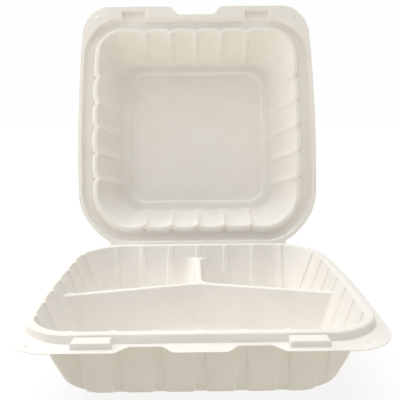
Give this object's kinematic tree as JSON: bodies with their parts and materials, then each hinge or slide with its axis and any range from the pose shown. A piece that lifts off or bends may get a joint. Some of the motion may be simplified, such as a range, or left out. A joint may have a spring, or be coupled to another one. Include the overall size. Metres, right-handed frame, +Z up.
{
  "type": "clamshell food container",
  "caption": "Square hinged takeaway box of formed white plastic: fluted tray with a hollow Y-shaped divider, domed lid on a living hinge, front lip with lock tabs.",
  "frame": {"origin": "middle of the base on the surface it stands on", "axes": "+Z up, +Y towards the hinge, +X to the right seen from the front lip"},
  "size_m": [0.204, 0.2955, 0.244],
  "materials": {
    "formed_sheet": "matte, slightly warm white"
  },
  "bodies": {
    "base": {"base_tray": "formed_sheet"},
    "lid": {"lid": "formed_sheet"}
  },
  "joints": [
    {"name": "lid_hinge", "type": "hinge", "parent": "base", "child": "lid", "pos_m": [0, 0.1032, 0.04068], "axis": [-1, 0, 0], "range_deg": [-107, 73]}
  ]
}
